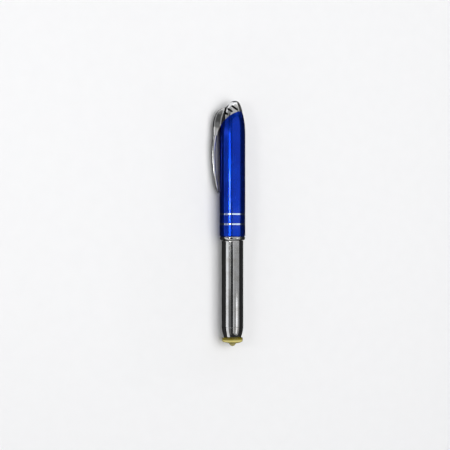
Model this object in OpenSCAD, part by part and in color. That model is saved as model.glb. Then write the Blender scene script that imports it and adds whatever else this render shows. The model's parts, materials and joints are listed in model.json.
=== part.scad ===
/* [Torch end] */
// Diameter of the lamp
lamp_d = 3; // [2.8:0.1:3.4]
// Length of the lamp from its dome to its flange
lamp_h = 5.4; // [5.2:0.1:6]
// Length of the dome that stands out of the lens
lamp_proud = 1.2; // [0.8:0.1:1.4]
// Width of the lamp's flange beyond its body
lamp_flange = 0.4; // [0.3:0.05:0.5]
// Length of the lens outside the head
lens_h = 2.5; // [2.1:0.1:2.8]
// Diameter of the lens rim
lens_d = 9.1; // [8.4:0.1:9.3]
// Straight edge of the lens rim
lens_edge = 1.3; // [0.8:0.1:1.6]
// Wall of the lens spigot inside the head
lens_wall = 0.5; // [0.4:0.05:0.7]
// Length of the tapered head
head_h = 4.7; // [4.2:0.1:5.5]
// Diameter of the head at the lens
head_end_d = 7.4; // [7:0.1:8]
// Length of the holder behind the lamp
holder_h = 6.5; // [5.8:0.1:7.2]
// Diameter of the contact stud
stud_d = 2.4; // [2:0.1:2.8]
// Height of the contact stud above the holder
stud_proud = 0.7; // [0.6:0.05:0.9]
// Open gap of the switch between stud and cell
switch_gap = 0.45; // [0.3:0.05:0.6]

/* [Cells] */
// Diameter of a button cell
cell_d = 7.9; // [7.5:0.1:8.5]
// Height of a button cell
cell_h = 3.6; // [3:0.1:4.2]
// Wall of the insulating sleeve round the cells
sleeve_wall = 0.24; // [0.2:0.02:0.4]
// Thickness of the sleeve's front lip
lip_t = 0.5; // [0.4:0.05:0.7]
// Length of the spring behind the cells
spring_h = 6; // [5:0.25:8]
// Diameter of the spring over its wire
spring_d = 5.8; // [5:0.1:6.4]
// Wire of the spring
spring_wire = 0.5; // [0.4:0.05:0.6]
// Turns of the spring
spring_turns = 4.5; // [3.5:0.5:5]
// Thickness of the partition behind the spring
partition_t = 1.8; // [1.5:0.1:2.5]

/* [Barrel] */
// Wall of the barrel
barrel_wall = 0.5; // [0.4:0.05:0.7]
// Length of the barrel between head and cap
barrel_h = 38; // [36:0.5:44]
// Length of the coupling bush in the barrel's mouth
bush_h = 8; // [6:0.5:10]
// Wall of the coupling bush
bush_wall = 0.9; // [0.7:0.05:1.1]

/* [Writing end] */
// Length of the refill with its tip
refill_h = 55; // [52:0.5:58]
// Diameter of the refill tube
refill_d = 2.4; // [2.2:0.05:2.6]
// Wall of the refill tube
refill_wall = 0.3; // [0.2:0.05:0.4]
// Length of the metal tip
tip_h = 9; // [8:0.25:10]
// Length of the tip outside the nose
tip_out = 3.2; // [2.6:0.1:4]
// Diameter of the writing ball
ball_d = 0.8; // [0.7:0.05:1]
// Length of the nose cone
nose_h = 10; // [8:0.5:13]
// Diameter of the grip where the nose screws on
nose_d = 6.6; // [6.2:0.1:7.2]
// Step from the barrel in to the grip, the cap's seat
grip_step = 0.55; // [0.45:0.05:0.7]
// Length of the straight part of the grip
grip_straight_h = 12; // [10:0.5:15]
// Distance of the o-ring from the barrel's mouth
o_ring_z = 4.2; // [3.6:0.1:5]
// Wire diameter of the o-ring
o_ring_d = 0.9; // [0.8:0.05:1]

/* [Cap] */
// Length of the cap from its mouth to the crown's peak
cap_h = 61.2; // [60:0.2:66]
// Wall of the cap tube
cap_wall = 0.82; // [0.7:0.02:1]
// Wall of the plastic liner in the cap
liner_wall = 0.5; // [0.4:0.05:0.7]
// Room between the writing ball and the end of the liner
tip_room = 1.2; // [0.8:0.1:1.8]
// Height of the mouth ring's bead
mouth_h = 1.8; // [1.5:0.1:2.4]
// Length of the mouth ring's spigot in the tube
mouth_spigot_h = 2.4; // [2:0.1:3.5]

/* [Trim rings] */
// Distance of the lower ring from the cap's mouth
ring_z = 7; // [6:0.1:9]
// Distance between the two rings
ring_pitch = 4.4; // [3:0.1:6]
// Width of a ring
ring_w = 0.9; // [0.6:0.05:1.3]
// Depth of a ring in the tube
ring_t = 0.36; // [0.3:0.02:0.42]
// Split that lets a ring spring over the tube
ring_split = 0.4; // [0.3:0.05:0.8]

/* [Crown] */
// Height of the crown's dome above the straight tube
dome_h = 15.2; // [14:0.1:17]
// Shift of the peak away from the clip
peak_shift = 1.2; // [0.8:0.1:1.4]
// Reach of the shoulder from the pen's axis
shoulder_reach = 8.7; // [8.4:0.05:9.1]
// Width of the shoulder
shoulder_w = 4.6; // [4.2:0.1:5.2]
// Height of the shoulder above the straight tube
shoulder_h = 12.5; // [11.8:0.1:13.2]
// Radius of the curved seam between tube and crown
seam_r = 13.9; // [13.4:0.1:14.4]
// Distance of the seam's centre from the axis
seam_x = 6.7; // [6.4:0.05:7]
// Depth of the seam's centre below the peak
seam_drop = 18.25; // [18:0.05:18.6]
// Number of slots on each cheek
slot_count = 3; // [1:1:4]
// Width of a slot
slot_w = 0.95; // [0.7:0.05:1.1]
// Length of the slot nearest the peak
slot_l = 3.3; // [2.8:0.1:3.6]
// Change of length from one slot to the next
slot_step = 0.55; // [0.3:0.05:0.6]
// Turn from one slot to the next about the seam's centre
slot_pitch = 7.9; // [7:0.1:9]
// Lean of the slots from the pen's axis
slot_lean = 53; // [44:1:58]
// Distance of the slot nearest the peak above the seam
slot_rise = 2.2; // [2:0.05:2.6]
// How much nearer the seam each next slot lies
slot_sink = 0.2; // [0.1:0.05:0.4]

/* [Clip] */
// Length of the clip below the shoulder
clip_h = 25.1; // [22:0.1:28]
// Width of the clip at the shoulder
clip_w = 4; // [3.4:0.1:4.4]
// Width of the clip at the tip
clip_tip_w = 3; // [2.4:0.1:3.4]
// Thickness of the clip at the shoulder
clip_t = 2; // [1.6:0.05:2.2]
// Thickness of the clip at the tip
clip_tip_t = 1.15; // [1:0.05:1.4]
// Bow of the clip away from the cap
clip_bow = 1.15; // [0.6:0.05:1.6]
// Radius of the ball at the clip's tip
clip_ball_r = 0.5; // [0.4:0.05:0.6]
// Radius of the rolled root that the clip turns on
root_r = 0.5; // [0.4:0.02:0.55]
// Width of the rolled root
root_w = 3; // [2.6:0.1:3.2]
// Thickness of the neck below the root
neck_t = 0.6; // [0.5:0.05:0.7]

/* [Fits] */
// Radial gap of pieces pushed together
press_gap = 0.03; // [0.02:0.005:0.04]
// Radial gap of pieces that turn or slide
run_gap = 0.05; // [0.03:0.005:0.08]
// Radial gap between cap and grip
cap_gap = 0.1; // [0.06:0.01:0.15]
// Open seam between pieces that meet end to end
seam_gap = 0.2; // [0.1:0.02:0.3]
// Air under the clip's ball
clip_gap = 0.12; // [0.1:0.02:0.2]

/* [Hidden] */
$fn = 64;
far = 100;
over = 1;

// Radii, worked outwards from the cells to the cap
lamp_r = lamp_d / 2;
flange_r = lamp_r + lamp_flange;
flange_h = 1;
lead_r = 0.25;
lead_x = 1.27;
stem_r = 0.6;
lens_bore_r = lamp_r + cap_gap;
head_bore_r = flange_r + cap_gap + lens_wall;
cell_r = cell_d / 2;
sleeve_bore_r = cell_r + press_gap;
sleeve_r = sleeve_bore_r + sleeve_wall;
barrel_bore_r = sleeve_r + press_gap;
barrel_r = barrel_bore_r + barrel_wall;
bush_bore_r = barrel_bore_r - press_gap - bush_wall;
grip_r = barrel_r - grip_step;
liner_bore_r = grip_r + cap_gap;
liner_r = liner_bore_r + liner_wall;
cap_bore_r = liner_r + press_gap;
cap_r = cap_bore_r + cap_wall;
refill_r = refill_d / 2;
refill_bore_r = refill_r + run_gap;
nose_spigot_r = (nose_d / 2 + refill_bore_r) / 2;

// Heights along the pen, from the lamp's dome to the peak
lens_z = lamp_proud;
head_z = lens_z + lens_h;
barrel_z = head_z + head_h;
holder_z = lamp_h + holder_h;
cell_z = holder_z + stud_proud + switch_gap;
sleeve_z = cell_z - lip_t;
spring_z = cell_z + 3 * cell_h;
partition_z = spring_z + spring_h;
partition_end = partition_z + partition_t;
refill_seat = 0.8;
refill_z = partition_end - refill_seat + run_gap;
ball_z = refill_z + refill_h - ball_d / 2;
tip_z = refill_z + refill_h - tip_h;
nose_end = refill_z + refill_h - tip_out;
nose_z = nose_end - nose_h;
nose_spigot_h = 4;
barrel_end = barrel_z + barrel_h;
mouth_z = barrel_end + seam_gap;
tube_z = mouth_z + mouth_h;
liner_z = tube_z + mouth_spigot_h + seam_gap;
liner_end = refill_z + refill_h + tip_room;
liner_end_t = 1;
peak_z = mouth_z + cap_h;
dome_z = peak_z - dome_h;
pen_h = peak_z;

// Squareness of the hood, of the shoulder's spine and outline, of their blend, and of the lean to the peak
hood_n = 2.15;
spine_n = 3.2;
shoulder_n = 5;
blend_n = 6;
oblong_reach = pow(pow(shoulder_reach, blend_n) - pow(cap_r, blend_n), 1 / blend_n);
peak_n = 6;
peak_land = 0.3;
dome_rows = 18;
dome_cols = 64;
profile_steps = 12;
seam_z = peak_z - seam_drop;

// Inside of the crown
cavity_roof = 1.6;
cavity_end = peak_z - cavity_roof;
boss_r = 1.2;
screw_r = 0.75;
screw_head_r = 1.5;
screw_head_h = 1.2;
screw_grip = 3;
plug_z = liner_end + liner_end_t + seam_gap;
boss_z = plug_z + screw_head_h + screw_grip;
first_slot = 21.3;
slot_floor = 1.4;

// Root of the clip, in the middle of the shoulder's wall
root_rise = 1.4;
root_z = dome_z + root_rise;
root_in = sqrt(seam_r ^ 2 - (root_z - seam_z) ^ 2) - seam_x;
root_out = crown_r(180, root_rise);
root_x = -(root_in + root_out) / 2;
neck_swing = 0.2;
clip_z = dome_z - 1.5 * seam_gap;
clip_rows = 22;
clip_cols = 20;
clip_n = 3.4;
clip_pull = [0.25, 0.65];
tip_round = 0.1;
tip_draw = 0.88;

// Share of its width that a superellipse keeps at a share of its height
function dome_f(g, n) = pow(max(0, 1 - pow(g, n)), 1 / n);

// Power mean of two radii, close to the larger one
function blended(a, b) = pow(pow(a, blend_n) + pow(b, blend_n), 1 / blend_n);

// Radius of the round tube and hood at a height
function tube_r(z) = z <= dome_z ? cap_r : cap_r * dome_f((z - dome_z) / dome_h, hood_n);

// Radius of the shoulder's rounded outline in a direction from the axis
function shoulder_r(a) = pow(pow(abs(cos(a)) / oblong_reach, shoulder_n)
    + pow(abs(sin(a)) / (shoulder_w / 2), shoulder_n), -1 / shoulder_n);

// Radius of the crown in a direction, at a height above the straight tube: hood and lower shoulder blended
function crown_r(a, h) = let (hood = tube_r(dome_z + h)) cos(a) > 0 ? hood
    : blended(hood, shoulder_r(a) * dome_f(h / shoulder_h, spine_n));

// Directions round the axis, closer together along the shoulder
function dome_angle(i) = let (s = 2 * i / dome_cols - 1) 180 + 180 * sign(s) * pow(abs(s), 1.6);

// Point on the crown: its rows lie closer together towards the peak, to which they lean over
function dome_point(a, v) = let (
    g = pow(sin(v), 2 / hood_n),
    r = crown_r(a, dome_h * g)
) [r * cos(a) + peak_shift * pow(g, peak_n), r * sin(a), dome_z + dome_h * g];

// Cubic curve through its two ends, drawn towards the values between them
function cubic(t, a, b, c, d) = let (u = 1 - t)
    u ^ 3 * a + 3 * u ^ 2 * t * b + 3 * u * t ^ 2 * c + t ^ 3 * d;

// Point on the clip's outer line, a cubic curve from the shoulder to the tip
function clip_line(t) = let (top = shoulder_reach, tip = cap_r + clip_gap + clip_tip_t) [
    -cubic(t, top, top + clip_bow, top + clip_bow / 4, tip),
    clip_z - clip_h * cubic(t, 0, clip_pull[0], clip_pull[1], 1)
];

// Ring of the clip at a share of its length: a rounded oblong, its outer face drawn in at the tip
function clip_ring(t) = let (
    p = clip_line(t),
    round_off = sqrt(1 - tip_draw * max(0, 1 - (1 - t) / tip_round) ^ 2),
    thick = clip_t + (clip_tip_t - clip_t) * t,
    half_t = thick / 2 * round_off,
    half_w = (clip_w + (clip_tip_w - clip_w) * t) / 2 * round_off
) [for (i = [0 : clip_cols - 1]) let (a = 360 * i / clip_cols, c = cos(a), s = sin(a)) [
    p[0] + thick - half_t + half_t * sign(c) * pow(abs(c), 2 / clip_n),
    half_w * sign(s) * pow(abs(s), 2 / clip_n),
    p[1]
]];

// Rings from the tip to the shoulder, closer together at the tip
clip_rings = [for (k = [clip_rows : -1 : 0]) clip_ring(sin(90 * k / clip_rows))];

// Roll at which the clip's edge and the cap rest on the same plane, found by halving
function clip_drop(roll) = max([for (ring = clip_rings, p = ring) p[1] * cos(roll) - p[0] * sin(roll)]);
function rest_roll(low, high, n) = let (mid = (low + high) / 2)
    n == 0 ? mid : clip_drop(mid) > cap_r ? rest_roll(low, mid, n - 1) : rest_roll(mid, high, n - 1);
roll_most = 70;
roll_halvings = 24;
roll = rest_roll(0, roll_most, roll_halvings);
clip_left = max([for (ring = clip_rings, p = ring) -p[0] * cos(roll) - p[1] * sin(roll)]);
shift_x = (clip_left - cap_r) / 2;

// Centre line of the battery spring, and the least gap between its turns
spring_mid_r = (spring_d - spring_wire) / 2;
spring_rise = spring_h - spring_wire - 2 * press_gap;
rings_a_turn = 8;
spring_rings = rings_a_turn * spring_turns;
spring_sides = 6;
function spring_point(k) = let (a = 360 * spring_turns * k / spring_rings)
    [spring_mid_r * cos(a), spring_mid_r * sin(a), spring_rise * k / spring_rings];
spring_space = min([for (i = [0 : spring_rings], j = [i + rings_a_turn / 2 : 1 : spring_rings])
    norm(spring_point(i) - spring_point(j))]) - spring_wire;
echo(spring_gap = spring_space, roll = roll, shift_x = shift_x, cap_r = cap_r, barrel_r = barrel_r,
    pen_h = pen_h, root = [root_x, root_z], ball_z = ball_z, barrel_z = barrel_z, barrel_end = barrel_end);

// Lays the upright pen down along Y, with its clip rolled to the plane it rests on
module lay() {
    translate([shift_x, -pen_h / 2, cap_r])
        rotate([-90, 0, 0])
            rotate([0, 0, -roll])
                children();
}

// Closed skin through rings of points, with flat ends
module loft(rings) {
    rows = len(rings);
    cols = len(rings[0]);
    sides = [for (j = [0 : rows - 2], i = [0 : cols - 1])
        let (k = (i + 1) % cols, b = j * cols, t = b + cols)
        each [[b + i, t + i, t + k], [b + i, t + k, b + k]]];
    bottom = [for (i = [0 : cols - 1]) i];
    top = [for (i = [cols - 1 : -1 : 0]) (rows - 1) * cols + i];
    polyhedron([for (ring = rings) each ring], concat(sides, [bottom, top]), convexity = 6);
}

// Ring or disc with a bore, standing on z
module tube(outer_r, bore_r, z, h) {
    translate([0, 0, z])
        difference() {
            cylinder(r = outer_r, h = h);
            translate([0, 0, -over])
                cylinder(r = bore_r, h = h + 2 * over);
        }
}

// Everything below the curved seam between tube and crown
module below_seam(gap) {
    side = cap_r + over;
    rotate([90, 0, 0])
        linear_extrude(far, center = true)
            union() {
                translate([seam_x, seam_z])
                    circle(seam_r - gap, $fn = 128);
                translate([-side, 0])
                    square([2 * side, seam_z]);
            }
}

// Solid of the round tube and dome, drawn in by an inset, between two heights
module dome_core(inset, low, high) {
    rise = high - max(low, dome_z);
    rotate_extrude()
        polygon(concat(
            [[0, high], [0, low], [cap_r - inset, low]],
            [for (k = [0 : profile_steps]) let (z = max(low, dome_z) + rise * sin(90 * k / profile_steps))
                [tube_r(z) - inset, z]]
        ));
}

module lamp() {
    color("#f4f2e2") {
        translate([0, 0, lamp_r])
            sphere(lamp_r);
        translate([0, 0, lamp_r])
            cylinder(r = lamp_r, h = lamp_h - lamp_r);
        translate([0, 0, lamp_h - flange_h])
            cylinder(r = flange_r, h = flange_h);
        for (x = [-lead_x, lead_x])
            translate([x, 0, lamp_h])
                cylinder(r = lead_r, h = holder_h, $fn = 24);
    }
}

// Flat dome with a straight edge and a hole for the lamp, on a spigot that seats the lamp's flange
module lens() {
    edge_z = head_z - lens_edge;
    face_h = lens_h - lens_edge;
    color("#d8c63a")
        difference() {
            union() {
                translate([0, 0, edge_z])
                    cylinder(r = lens_d / 2, h = lens_edge);
                rotate_extrude()
                    intersection() {
                        translate([0, lens_z])
                            square([lens_d / 2, face_h]);
                        translate([0, edge_z])
                            scale([1, 2 * face_h / lens_d])
                                circle(lens_d / 2);
                    }
                translate([0, 0, head_z])
                    cylinder(r = head_bore_r - press_gap, h = lamp_h - head_z - seam_gap);
            }
            translate([0, 0, -over])
                cylinder(r = lens_bore_r, h = far);
            translate([0, 0, lamp_h - flange_h - run_gap])
                cylinder(r = flange_r + cap_gap, h = far);
        }
}

module torch_head() {
    bulge = 0.2;
    color("silver")
        difference() {
            union() {
                rotate_extrude()
                    polygon(concat(
                        [[0, barrel_z - press_gap], [0, head_z]],
                        [for (k = [0 : profile_steps]) let (t = k / profile_steps)
                            [head_end_d / 2 + (barrel_r - head_end_d / 2) * t + 4 * bulge * t * (1 - t),
                             head_z + (head_h - press_gap) * t]]
                    ));
                translate([0, 0, barrel_z - press_gap])
                    cylinder(r = barrel_bore_r - run_gap, h = sleeve_z - seam_gap - barrel_z + press_gap);
            }
            translate([0, 0, -over])
                cylinder(r = head_bore_r, h = far);
        }
}

module lamp_holder() {
    color("#2b2b2e")
        difference() {
            translate([0, 0, lamp_h])
                cylinder(r = head_bore_r - run_gap, h = holder_h);
            for (x = [-lead_x, lead_x])
                translate([x, 0, 0])
                    cylinder(r = lead_r + press_gap, h = far, $fn = 24);
            translate([0, 0, lamp_h + holder_h / 2])
                cylinder(r = stem_r + press_gap, h = far, $fn = 24);
        }
}

module contact_stud() {
    color("#c9a227") {
        translate([0, 0, holder_z])
            cylinder(r = stud_d / 2, h = stud_proud);
        translate([0, 0, holder_z - holder_h / 2 + press_gap])
            cylinder(r = stem_r, h = holder_h / 2);
    }
}

module battery_sleeve() {
    lip_room = 1;
    color("#e8e4d6") {
        tube(sleeve_r, sleeve_bore_r, sleeve_z, partition_z - sleeve_z);
        tube(sleeve_r, stud_d / 2 + lip_room, sleeve_z, lip_t);
    }
}

// One button cell: a can with its smaller contact cap towards the lamp
module button_cell(place) {
    cap_step = 0.25;
    cap_margin = 0.9;
    color("#b9bcc0")
        translate([0, 0, cell_z + place * cell_h]) {
            cylinder(r = cell_r - cap_margin, h = cap_step);
            translate([0, 0, cap_step])
                cylinder(r = cell_r, h = cell_h - cap_step);
        }
}

module battery_spring() {
    color("#c2c5c9")
        translate([0, 0, spring_z + spring_wire / 2 + press_gap])
            loft([for (k = [0 : spring_rings])
                let (p = spring_point(k), a = 360 * spring_turns * k / spring_rings)
                [for (i = [0 : spring_sides - 1]) let (b = -360 * i / spring_sides)
                    p + spring_wire / 2 * [cos(b) * cos(a), cos(b) * sin(a), sin(b)]]]);
}

module partition() {
    boss_h = 1;
    color("#2b2b2e")
        difference() {
            union() {
                translate([0, 0, partition_z])
                    cylinder(r = barrel_bore_r - press_gap, h = partition_t);
                translate([0, 0, partition_z - boss_h])
                    cylinder(r = spring_mid_r - spring_wire, h = boss_h);
            }
            translate([0, 0, partition_end - refill_seat])
                cylinder(r = refill_bore_r, h = far);
        }
}

module barrel_tube() {
    edge = 0.15;
    color("silver")
        rotate_extrude()
            polygon([
                [barrel_bore_r, barrel_z], [barrel_r, barrel_z], [barrel_r, barrel_end - edge],
                [barrel_r - edge, barrel_end], [barrel_bore_r, barrel_end]
            ]);
}

module coupling_bush() {
    color("#c9a227")
        tube(barrel_bore_r - press_gap, bush_bore_r, barrel_end - bush_h, bush_h);
}

module grip_section() {
    groove_r = grip_r - o_ring_d + run_gap;
    groove_h = o_ring_d + 2 * press_gap;
    straight_end = barrel_end + grip_straight_h;
    color("#1d1e21")
        difference() {
            union() {
                translate([0, 0, barrel_end - bush_h])
                    cylinder(r = bush_bore_r - press_gap, h = bush_h);
                translate([0, 0, barrel_end])
                    cylinder(r = grip_r, h = grip_straight_h);
                translate([0, 0, straight_end])
                    cylinder(r1 = grip_r, r2 = nose_d / 2, h = nose_z - straight_end);
            }
            translate([0, 0, barrel_end - bush_h - over])
                cylinder(r = refill_bore_r, h = far);
            translate([0, 0, nose_z - nose_spigot_h])
                cylinder(r = nose_spigot_r + press_gap, h = far);
            tube(far, groove_r, barrel_end + o_ring_z - groove_h / 2, groove_h);
        }
}

module cap_o_ring() {
    color("#111111")
        translate([0, 0, barrel_end + o_ring_z])
            rotate_extrude()
                translate([grip_r + run_gap - o_ring_d / 2, 0])
                    circle(o_ring_d / 2, $fn = 32);
}

module nose_cone() {
    mouth_wall = 0.35;
    bulge = 0.35;
    end_r = refill_bore_r + mouth_wall;
    color("silver")
        difference() {
            union() {
                rotate_extrude()
                    polygon(concat(
                        [[0, nose_end], [0, nose_z]],
                        [for (k = [0 : profile_steps]) let (t = k / profile_steps)
                            [nose_d / 2 + (end_r - nose_d / 2) * t + 4 * bulge * t * (1 - t),
                             nose_z + nose_h * t]]
                    ));
                translate([0, 0, nose_z - nose_spigot_h + press_gap])
                    cylinder(r = nose_spigot_r, h = nose_spigot_h);
            }
            cylinder(r = refill_bore_r, h = 2 * far);
        }
}

module refill_tube() {
    color("#e9e9ee")
        tube(refill_r, refill_r - refill_wall, refill_z, refill_h - tip_h);
}

module refill_tip() {
    spigot_h = 3;
    ball_out = 0.3;
    socket_r = ball_d / 2 + press_gap;
    lip_wall = 0.14;
    shank_out = 0.4;
    lip_r = ball_d / 2 + lip_wall;
    cone_z = nose_end + shank_out;
    color("#c9a227")
        difference() {
            union() {
                translate([0, 0, tip_z - spigot_h])
                    cylinder(r = refill_r - refill_wall - press_gap, h = spigot_h);
                translate([0, 0, tip_z])
                    cylinder(r = refill_r, h = cone_z - tip_z);
                translate([0, 0, cone_z])
                    cylinder(r1 = refill_r, r2 = lip_r, h = ball_z + ball_d / 2 - ball_out - cone_z);
            }
            translate([0, 0, ball_z])
                sphere(socket_r);
        }
}

module writing_ball() {
    color("#d9dbde")
        translate([0, 0, ball_z])
            sphere(ball_d / 2);
}

// Bead with a round outer edge, on a spigot pressed into the tube
module mouth_ring() {
    bead_r = 0.6 * mouth_h;
    bead_in = 0.1;
    bead_turn = asin(mouth_h / 2 / bead_r);
    bead_x = cap_r - bead_in - bead_r;
    color("silver")
        rotate_extrude()
            polygon(concat(
                [[liner_bore_r, mouth_z]],
                [for (k = [-profile_steps : profile_steps]) let (a = bead_turn * k / profile_steps)
                    [bead_x + bead_r * cos(a), mouth_z + mouth_h / 2 + bead_r * sin(a)]],
                [
                    [cap_bore_r - press_gap, tube_z], [cap_bore_r - press_gap, tube_z + mouth_spigot_h],
                    [liner_bore_r, tube_z + mouth_spigot_h]
                ]
            ));
}

module cap_tube() {
    tube_top = seam_z + seam_r;
    color("#1533b4")
        difference() {
            intersection() {
                dome_core(0, tube_z, tube_top);
                below_seam(press_gap);
            }
            dome_core(cap_wall, 0, tube_top + over);
            for (k = [0, 1])
                tube(far, cap_r - ring_t, mouth_z + ring_z + k * ring_pitch - ring_w / 2, ring_w);
        }
}

module cap_liner() {
    color("#e4e4e2")
        difference() {
            translate([0, 0, liner_z])
                cylinder(r = liner_r, h = liner_end + liner_end_t - liner_z);
            translate([0, 0, liner_z - over])
                cylinder(r = liner_bore_r, h = liner_end - liner_z + over);
        }
}

// Split ring in its groove, the split turned away from the clip
module trim_ring(place) {
    ring_out = cap_r - press_gap;
    color("#dcdee2")
        translate([0, 0, mouth_z + ring_z + place * ring_pitch])
            difference() {
                tube(ring_out, cap_r - ring_t, -ring_w / 2, ring_w);
                translate([0, -ring_split / 2, -ring_w])
                    cube([far, ring_split, 2 * ring_w]);
            }
}

// One slot of the crown's cheek, a straight cut with round ends
module slot(length) {
    square([slot_w, length - slot_w], center = true);
    for (end = [-1, 1])
        translate([0, end * (length - slot_w) / 2])
            circle(slot_w / 2);
}

// Slots in a row that follows the seam, through both cheeks
module cheek_slots() {
    for (side = [0, 1], k = [0 : slot_count - 1]) {
        turn = first_slot + k * slot_pitch;
        reach = seam_r + slot_rise - k * slot_sink;
        mirror([0, side, 0])
            translate([0, -slot_floor, 0])
                rotate([90, 0, 0])
                    linear_extrude(far)
                        translate([seam_x - reach * sin(turn), seam_z + reach * cos(turn)])
                            rotate([0, 0, slot_lean])
                                slot(slot_l - k * slot_step);
    }
}

// Socket for the clip's rolled root, open downwards for its neck
module clip_socket() {
    translate([root_x, 0, root_z]) {
        rotate([90, 0, 0])
            cylinder(r = root_r + run_gap, h = root_w + 2 * run_gap, center = true);
        translate([-neck_t / 2 - neck_swing, -root_w / 2 - run_gap, -far])
            cube([neck_t + 2 * neck_swing, root_w + 2 * run_gap, far]);
    }
}

module crown() {
    rings = [for (j = [0 : dome_rows - 1]) [for (i = [0 : dome_cols - 1])
        dome_point(dome_angle(i), 90 * j / dome_rows)]];
    land = [for (i = [0 : dome_cols - 1]) let (a = dome_angle(i))
        [peak_shift + peak_land * cos(a), peak_land * sin(a), peak_z]];
    color("silver") {
        difference() {
            loft(concat(rings, [land]));
            below_seam(0);
            dome_core(cap_wall, 0, cavity_end);
            cheek_slots();
            clip_socket();
        }
        tube(boss_r, screw_r + press_gap, boss_z, cavity_end - boss_z + press_gap);
    }
}

module crown_plug() {
    color("#17181b")
        difference() {
            dome_core(cap_wall + press_gap, plug_z, cavity_end - press_gap);
            cylinder(r = screw_r + press_gap, h = 2 * far);
            translate([0, 0, boss_z - press_gap])
                cylinder(r = boss_r + press_gap, h = far);
            cylinder(r = screw_head_r + press_gap, h = plug_z + screw_head_h);
        }
}

module crown_screw() {
    thread_h = 5;
    color("#8d9096") {
        translate([0, 0, plug_z])
            cylinder(r = screw_head_r, h = screw_head_h);
        translate([0, 0, plug_z + screw_head_h])
            cylinder(r = screw_r, h = screw_grip + thread_h);
    }
}

module clip() {
    neck_depth = 1.4;
    color("silver") {
        loft(clip_rings);
        translate([-cap_r - clip_gap - clip_ball_r, 0, clip_z - clip_h + clip_ball_r])
            sphere(clip_ball_r);
        translate([root_x, 0, root_z])
            rotate([90, 0, 0])
                cylinder(r = root_r, h = root_w, center = true);
        translate([root_x - neck_t / 2, -root_w / 2, clip_z - neck_depth])
            cube([neck_t, root_w, root_z - clip_z + neck_depth]);
    }
}

lay() lamp();
lay() lens();
lay() torch_head();
lay() lamp_holder();
lay() contact_stud();
lay() battery_sleeve();
lay() button_cell(0);  // front_cell
lay() button_cell(1);  // middle_cell
lay() button_cell(2);  // rear_cell
lay() battery_spring();
lay() partition();
lay() barrel_tube();
lay() coupling_bush();
lay() grip_section();
lay() cap_o_ring();
lay() nose_cone();
lay() refill_tube();
lay() refill_tip();
lay() writing_ball();
lay() mouth_ring();
lay() cap_tube();
lay() cap_liner();
lay() trim_ring(0);  // lower_trim_ring
lay() trim_ring(1);  // upper_trim_ring
lay() crown();
lay() crown_plug();
lay() crown_screw();
lay() clip();
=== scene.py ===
import json
import math

import bmesh
import bpy
import numpy as np
from bpy.props import FloatProperty, FloatVectorProperty, IntProperty, PointerProperty
from mathutils import Matrix, Vector


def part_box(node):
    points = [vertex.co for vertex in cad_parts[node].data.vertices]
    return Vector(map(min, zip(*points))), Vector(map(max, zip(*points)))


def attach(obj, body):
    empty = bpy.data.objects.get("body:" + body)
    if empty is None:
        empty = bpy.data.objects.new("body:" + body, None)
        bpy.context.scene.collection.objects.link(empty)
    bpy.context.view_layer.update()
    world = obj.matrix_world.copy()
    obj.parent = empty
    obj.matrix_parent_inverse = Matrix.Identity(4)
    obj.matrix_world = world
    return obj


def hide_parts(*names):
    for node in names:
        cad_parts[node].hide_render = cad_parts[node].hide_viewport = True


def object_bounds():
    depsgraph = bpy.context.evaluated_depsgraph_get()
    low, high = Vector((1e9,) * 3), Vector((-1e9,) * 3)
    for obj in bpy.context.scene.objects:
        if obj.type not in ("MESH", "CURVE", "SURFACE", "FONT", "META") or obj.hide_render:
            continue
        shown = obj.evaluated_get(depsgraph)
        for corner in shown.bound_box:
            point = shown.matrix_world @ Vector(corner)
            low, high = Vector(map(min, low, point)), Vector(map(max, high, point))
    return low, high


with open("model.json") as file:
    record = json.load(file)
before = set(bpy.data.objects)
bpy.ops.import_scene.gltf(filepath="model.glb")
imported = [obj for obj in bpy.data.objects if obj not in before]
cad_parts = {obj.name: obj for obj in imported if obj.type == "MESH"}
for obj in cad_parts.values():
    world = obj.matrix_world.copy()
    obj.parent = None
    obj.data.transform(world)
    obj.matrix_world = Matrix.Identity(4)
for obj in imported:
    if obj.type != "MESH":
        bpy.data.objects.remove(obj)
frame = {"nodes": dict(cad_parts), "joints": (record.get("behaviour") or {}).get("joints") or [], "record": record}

bl_info = {
    "name": "Mini ballpoint pen",
    "version": (1, 0, 0),
    "blender": (4, 5, 0),
    "location": "View3D > Sidebar > Pen",
    "description": "Builds the seen pieces of a short capped pen with a lamp in its end, and its studio",
    "category": "Add Mesh",
}

MM = 0.001
CAD_BOX = [[float(value) for value in corner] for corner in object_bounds()]


def span(node):
    """Where a CAD node starts and ends along the pen, from the lamp's dome, in metres."""
    return [float(corner[1] - CAD_BOX[0][1]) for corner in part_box(node)]


def girth(node):
    """Radius of a round CAD node, half its height across the pen, in millimetres."""
    low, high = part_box(node)
    return float(high[2] - low[2]) / 2 / MM


# The middle of the barrel, the turn of the lying pen about its axis, and the crown's peak along the pen.
BARREL = [(a + b) / 2 for a, b in zip(*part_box("barrel_tube"))]
CLIP_JOINT = next(joint for joint in frame["joints"] if joint["name"] == "clip_flex")
ROLL = math.atan2(CLIP_JOINT["axis"][0], -CLIP_JOINT["axis"][2])
PEAK = span("crown")[1]

# Gap between pieces that are pressed together and between pieces that slide, the distance at which points
# merge, and the sharpest bend that is shaded soft.
FIT, SLIP, MERGE = 0.03 * MM, 0.05 * MM, 2e-7
SOFT_BEND = math.radians(35)

# Points round a turned piece, along a short curve and round a softened corner. Then points round the cap's
# tube, the crown, the clip, a slot or the clip's socket and the o-ring, and rows along the tube, the hood,
# the seam's rim, the clip, the lens and the ball's seat.
ROUND, CURVE, CORNER = 160, 24, 7
TUBE_ROUND, CROWN_ROUND, CLIP_ROUND, SLOT_ROUND, RING_ROUND = 224, 256, 64, 40, 28
TUBE_ROWS, HOOD_ROWS, RIM_ROWS, CLIP_ROWS, LENS_ROWS, SEAT_ROWS = 40, 72, 9, 96, 20, 12

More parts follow.
